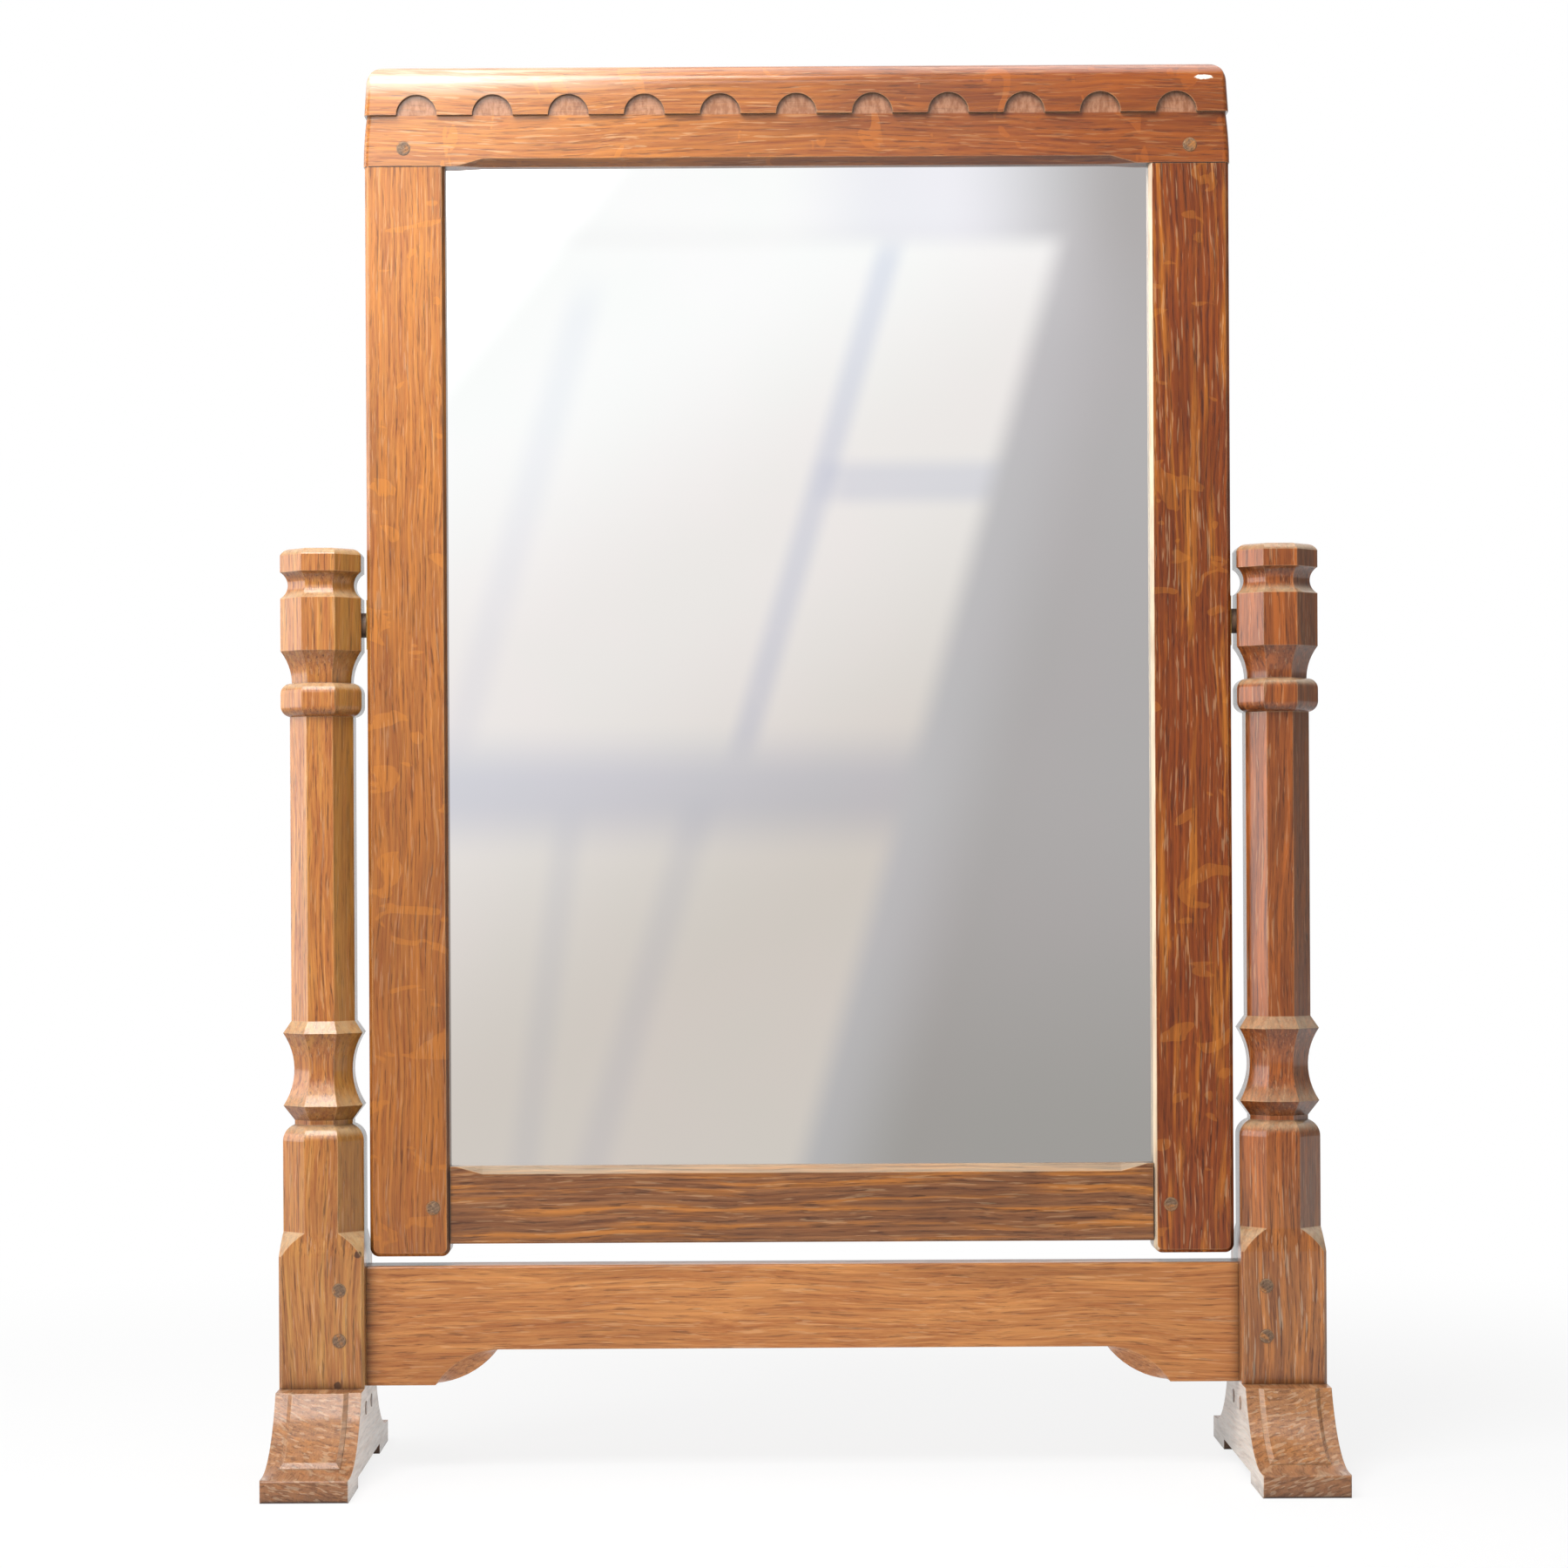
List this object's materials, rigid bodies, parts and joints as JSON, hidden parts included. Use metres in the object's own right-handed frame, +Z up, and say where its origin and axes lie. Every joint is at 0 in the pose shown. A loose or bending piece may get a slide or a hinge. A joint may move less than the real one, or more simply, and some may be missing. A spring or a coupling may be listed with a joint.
{
  "type": "swing mirror",
  "caption": "Rectangular mirror in a pegged oak frame that swings on pins between carved octagonal posts, on sledge feet joined by a shaped rail.",
  "frame": {"origin": "on the floor under the middle of the stand", "axes": "+Z up, -Y the way the mirror faces, +X to the right of someone who faces it"},
  "size_m": [0.5468, 0.207, 0.738],
  "materials": {
    "oak": "waxed",
    "oak_pegs": "waxed end grain",
    "silvered_glass": "polished",
    "softwood": "planed",
    "back_board": "oiled",
    "brass": "aged satin",
    "steel": "satin",
    "dark_fibre": "matte"
  },
  "bodies": {
    "stand": {"left_post": "oak", "right_post": "oak", "base_rail": "oak", "left_foot": "oak", "right_foot": "oak", "post_pegs": "oak_pegs", "left_foot_pegs": "oak_pegs", "right_foot_pegs": "oak_pegs", "left_pivot_bush": "brass", "right_pivot_bush": "brass", "left_friction_washer": "dark_fibre", "right_friction_washer": "dark_fibre"},
    "mirror_frame": {"top_rail": "oak", "left_stile": "oak", "right_stile": "oak", "bottom_rail": "oak", "frame_pegs": "oak_pegs", "mirror_glass": "silvered_glass", "glass_slips": "softwood", "back_panel": "back_board", "left_pivot_plate": "brass", "right_pivot_plate": "brass", "left_pivot_pin": "steel", "right_pivot_pin": "steel"}
  },
  "joints": [
    {"name": "tilt", "type": "hinge", "parent": "stand", "child": "mirror_frame", "pos_m": [0, 0, 0.44515], "axis": [1, 0, 0], "continuous": true}
  ]
}
